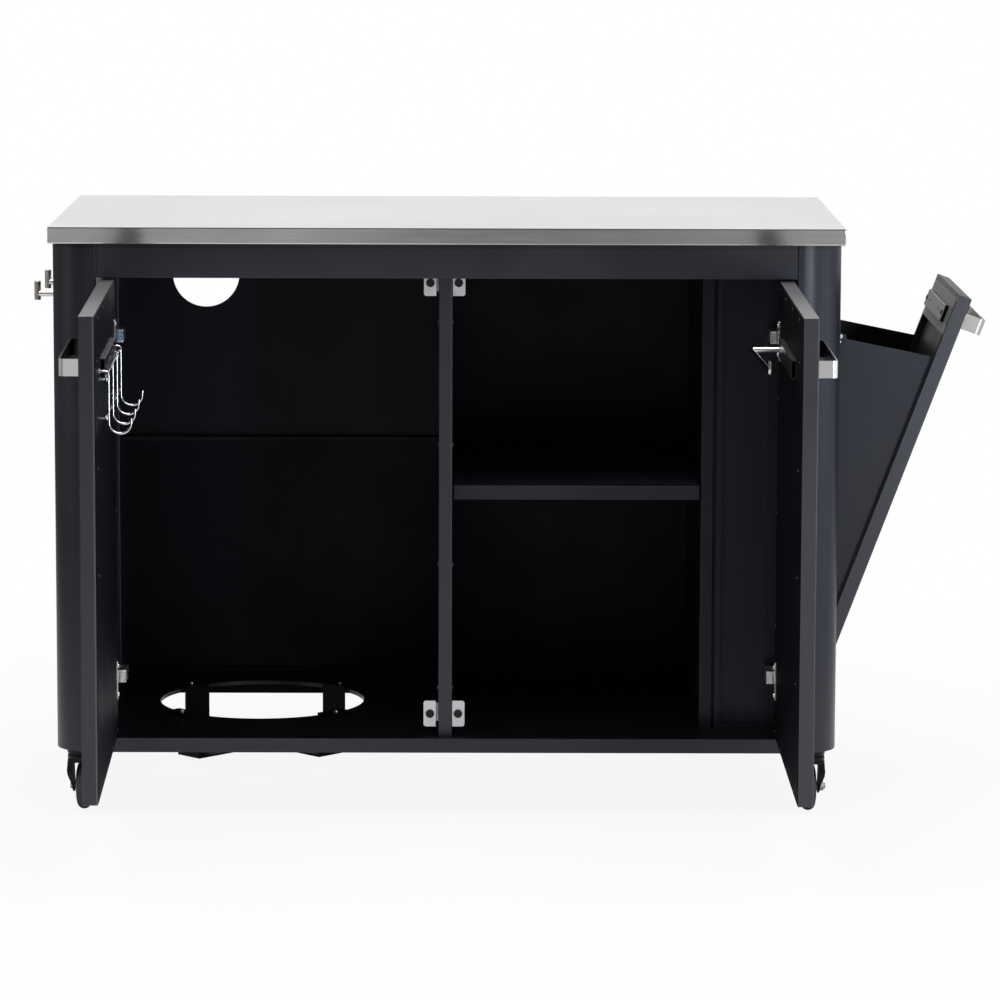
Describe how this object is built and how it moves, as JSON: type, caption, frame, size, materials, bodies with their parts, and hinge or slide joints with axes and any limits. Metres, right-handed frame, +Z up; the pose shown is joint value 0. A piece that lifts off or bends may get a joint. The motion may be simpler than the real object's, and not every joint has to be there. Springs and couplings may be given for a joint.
{
  "type": "grill cart with storage",
  "caption": "Rolling outdoor grill cart with a stainless worktop, dark coated steel cabinet, double doors, shelf, gas bottle cut-out, tilt-out waste bin and swivel casters",
  "frame": {"origin": "on the floor under the centre of the worktop", "axes": "+Z up, front with the doors towards -Y, +X to the right of a person facing the front"},
  "size_m": [1.4699, 1.0949, 0.906],
  "materials": {
    "worktop_steel": "satin brushed stainless sheet, grain along the length",
    "cabinet_coat": "fine textured dark anthracite powder coat",
    "inner_coat": "fine textured near black powder coat",
    "door_coat": "fine textured dark anthracite powder coat",
    "bin_coat": "fine textured near black powder coat",
    "backing_coat": "smooth dark grey powder coat",
    "handle_steel": "brushed stainless bar",
    "wire_chrome": "bright chromed round wire",
    "hinge_nickel": "nickel plated pressed steel",
    "galvanised_sheet": "plain galvanised folded sheet",
    "fastener_zinc": "bright zinc plated screws, pins and axles",
    "magnet_cup": "dark steel magnet cup",
    "caster_black": "glossy black coated pressed steel",
    "stop_rubber": "black rubber cap",
    "wheel_rubber": "dark grey moulded tread and hub"
  },
  "bodies": {
    "cabinet": {"worktop_skin": "worktop_steel", "worktop_stiffeners": "galvanised_sheet", "front_posts": "cabinet_coat", "rear_posts": "cabinet_coat", "post_end_plates": "galvanised_sheet", "front_top_rail": "cabinet_coat", "upper_rails": "cabinet_coat", "floor_pan": "inner_coat", "floor_stiffeners": "galvanised_sheet", "left_side_panel": "inner_coat", "rear_lower_panel": "inner_coat", "rear_upper_panel": "inner_coat", "divider_panel": "inner_coat", "bin_partition": "inner_coat", "bin_bay_front": "inner_coat", "shelf": "inner_coat", "shelf_brackets": "galvanised_sheet", "cradle_straps": "inner_coat", "cradle_screws": "fastener_zinc", "hinge_arms": "hinge_nickel", "catch_plates": "hinge_nickel", "catch_magnets": "magnet_cup", "side_hooks": "handle_steel", "divider_screws": "fastener_zinc", "bin_stop_lugs": "stop_rubber", "caster_plates": "caster_black"},
    "left_door": {"left_door_outer": "door_coat", "left_door_liner": "door_coat", "left_door_handle": "handle_steel", "left_door_handle_backing": "backing_coat", "left_door_hinge_leaves": "hinge_nickel", "hook_rack": "wire_chrome", "hook_rack_studs": "wire_chrome"},
    "right_door": {"right_door_outer": "door_coat", "right_door_liner": "door_coat", "right_door_handle": "handle_steel", "right_door_handle_backing": "backing_coat", "right_door_hinge_leaves": "hinge_nickel", "roll_holder_arm": "wire_chrome", "roll_holder_base": "wire_chrome"},
    "waste_bin": {"bin_panel_outer": "door_coat", "bin_panel_liner": "door_coat", "bin_body": "bin_coat", "bin_handle": "handle_steel", "bin_handle_backing": "backing_coat", "bin_pivot_pins": "fastener_zinc", "bin_stop_straps": "bin_coat", "bin_strap_bolts": "fastener_zinc"},
    "front_left_caster": {"front_left_fork": "caster_black", "front_left_axle": "fastener_zinc"},
    "front_left_caster_wheel": {"front_left_wheel": "wheel_rubber"},
    "front_right_caster": {"front_right_fork": "caster_black", "front_right_axle": "fastener_zinc"},
    "front_right_caster_wheel": {"front_right_wheel": "wheel_rubber"},
    "rear_left_caster": {"rear_left_fork": "caster_black", "rear_left_axle": "fastener_zinc"},
    "rear_left_caster_wheel": {"rear_left_wheel": "wheel_rubber"},
    "rear_right_caster": {"rear_right_fork": "caster_black", "rear_right_axle": "fastener_zinc"},
    "rear_right_caster_wheel": {"rear_right_wheel": "wheel_rubber"}
  },
  "joints": [
    {"name": "left_door_hinge", "type": "hinge", "parent": "cabinet", "child": "left_door", "pos_m": [-0.5199, -0.275, 0.475], "axis": [0, 0, 1], "range_deg": [-8, 88.8]},
    {"name": "right_door_hinge", "type": "hinge", "parent": "cabinet", "child": "right_door", "pos_m": [0.5199, -0.275, 0.475], "axis": [0, 0, 1], "range_deg": [-90, 8]},
    {"name": "bin_tilt", "type": "hinge", "parent": "cabinet", "child": "waste_bin", "pos_m": [0.587, 0, 0.2398], "axis": [0, 1, 0], "range_deg": [-20.5, 0]},
    {"name": "front_left_swivel", "type": "hinge", "parent": "cabinet", "child": "front_left_caster", "pos_m": [-0.5585, -0.242, 0.085], "axis": [0, 0, 1], "continuous": true},
    {"name": "front_left_roll", "type": "hinge", "parent": "front_left_caster", "child": "front_left_caster_wheel", "pos_m": [-0.5585, -0.22, 0.0375], "axis": [1, 0, 0], "continuous": true},
    {"name": "front_right_swivel", "type": "hinge", "parent": "cabinet", "child": "front_right_caster", "pos_m": [0.5585, -0.242, 0.085], "axis": [0, 0, 1], "continuous": true},
    {"name": "front_right_roll", "type": "hinge", "parent": "front_right_caster", "child": "front_right_caster_wheel", "pos_m": [0.5585, -0.22, 0.0375], "axis": [1, 0, 0], "continuous": true},
    {"name": "rear_left_swivel", "type": "hinge", "parent": "cabinet", "child": "rear_left_caster", "pos_m": [-0.5585, 0.242, 0.085], "axis": [0, 0, 1], "continuous": true},
    {"name": "rear_left_roll", "type": "hinge", "parent": "rear_left_caster", "child": "rear_left_caster_wheel", "pos_m": [-0.5585, 0.264, 0.0375], "axis": [1, 0, 0], "continuous": true},
    {"name": "rear_right_swivel", "type": "hinge", "parent": "cabinet", "child": "rear_right_caster", "pos_m": [0.5585, 0.242, 0.085], "axis": [0, 0, 1], "continuous": true},
    {"name": "rear_right_roll", "type": "hinge", "parent": "rear_right_caster", "child": "rear_right_caster_wheel", "pos_m": [0.5585, 0.264, 0.0375], "axis": [1, 0, 0], "continuous": true}
  ]
}
